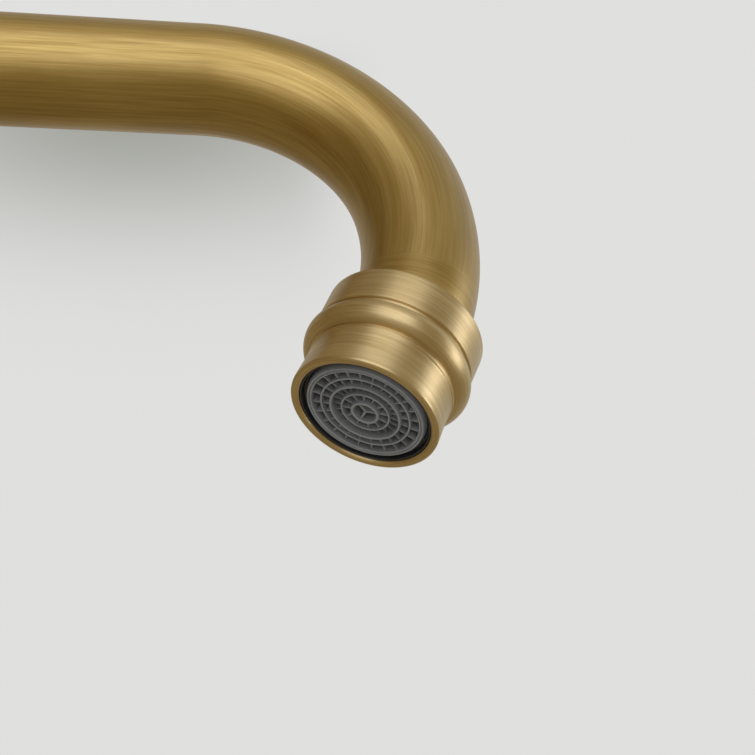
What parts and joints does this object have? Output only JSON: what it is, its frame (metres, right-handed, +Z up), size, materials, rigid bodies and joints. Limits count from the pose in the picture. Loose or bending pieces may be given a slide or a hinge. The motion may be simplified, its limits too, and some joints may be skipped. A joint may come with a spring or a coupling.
{
  "type": "basin mixer faucet",
  "caption": "Deck-mounted basin mixer with a swivelling swan-neck spout, a banded nozzle with an aerator, and a cross handle at each side.",
  "frame": {"origin": "centre of the base's seating face on the deck, on the spout's swivel axis", "axes": "+Z up along the riser, -Y towards the outlet, -X towards the hot valve, +X towards the cold valve"},
  "size_m": [0.1382, 0.1926, 0.2656],
  "materials": {
    "tube_brass": "brushed along the tube, antique lacquered",
    "pale_brass": "brushed round the turned bands, antique lacquered",
    "brushed_brass": "brushed, antique lacquered",
    "raw_brass": "machined, bare",
    "steel": "zinc plated",
    "mesh_steel": "woven stainless wire",
    "black_rubber": "matte",
    "black_plastic": "satin moulded",
    "grey_plastic": "satin moulded",
    "white_plastic": "natural acetal",
    "ceramic": "lapped alumina ceramic",
    "porcelain": "glazed porcelain"
  },
  "bodies": {
    "body": {"mixer_body": "brushed_brass", "base_flange": "brushed_brass", "base_gasket": "black_rubber", "swivel_stop_pin": "steel", "slip_rings": "white_plastic", "union_nut": "pale_brass", "mounting_stud": "steel", "clamp_pad": "black_rubber", "clamp_plate": "steel", "stud_nut": "raw_brass", "hot_seat_seal": "black_rubber", "hot_fixed_disc": "ceramic", "hot_bonnet": "raw_brass", "hot_bonnet_seal": "black_rubber", "hot_shroud": "pale_brass", "hot_glide_ring": "white_plastic", "cold_seat_seal": "black_rubber", "cold_fixed_disc": "ceramic", "cold_bonnet": "raw_brass", "cold_bonnet_seal": "black_rubber", "cold_shroud": "pale_brass", "cold_glide_ring": "white_plastic"},
    "spout": {"spout_tube": "tube_brass", "spout_foot": "raw_brass", "spout_o_rings": "black_rubber", "spout_nozzle": "pale_brass", "aerator_gasket": "black_rubber", "aerator_housing": "black_plastic", "aerator_jet_plate": "white_plastic", "aerator_screens": "mesh_steel", "aerator_grid": "grey_plastic"},
    "hot_control": {"hot_moving_disc": "ceramic", "hot_spindle": "raw_brass", "hot_spindle_o_rings": "black_rubber", "hot_spindle_clip": "steel", "hot_handle": "brushed_brass", "hot_handle_screw": "steel", "hot_button_cap": "pale_brass", "hot_button": "porcelain"},
    "cold_control": {"cold_moving_disc": "ceramic", "cold_spindle": "raw_brass", "cold_spindle_o_rings": "black_rubber", "cold_spindle_clip": "steel", "cold_handle": "brushed_brass", "cold_handle_screw": "steel", "cold_button_cap": "pale_brass", "cold_button": "porcelain"}
  },
  "joints": [
    {"name": "spout_swivel", "type": "hinge", "parent": "body", "child": "spout", "pos_m": [0, 0, 0.09], "axis": [0, 0, 1], "range_deg": [-30, 30]},
    {"name": "hot_valve", "type": "hinge", "parent": "body", "child": "hot_control", "pos_m": [-0.045, 0, 0.05], "axis": [-1, 0, 0], "range_deg": [0, 90]},
    {"name": "cold_valve", "type": "hinge", "parent": "body", "child": "cold_control", "pos_m": [0.045, 0, 0.05], "axis": [-1, 0, 0], "range_deg": [0, 90]}
  ]
}
